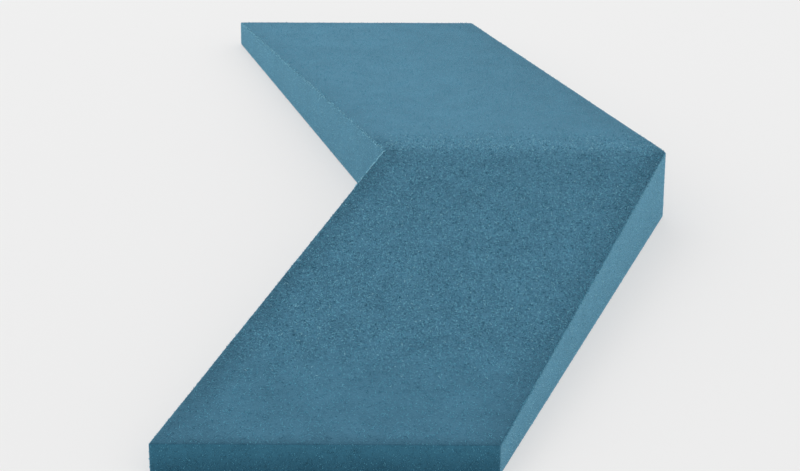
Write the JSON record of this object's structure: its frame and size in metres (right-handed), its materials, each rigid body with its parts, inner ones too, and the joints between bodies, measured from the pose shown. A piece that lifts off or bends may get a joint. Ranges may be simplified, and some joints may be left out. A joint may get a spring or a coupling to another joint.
{
  "type": "acoustic wall panel",
  "caption": "Arrow-shaped foam wall tile with a flocked face that slopes from a thick middle fold to thin ends, and a flat back for gluing; it soaks up sound.",
  "frame": {"origin": "on the flat back, in the middle of the tile's outline box", "axes": "+Z out of the face, away from the wall; +Y along the tile's length; +X towards the arrow's point"},
  "size_m": [0.2624, 0.6, 0.04],
  "materials": {
    "flocked_foam": "matte"
  },
  "bodies": {
    "root": {"panel": "flocked_foam"}
  },
  "joints": []
}
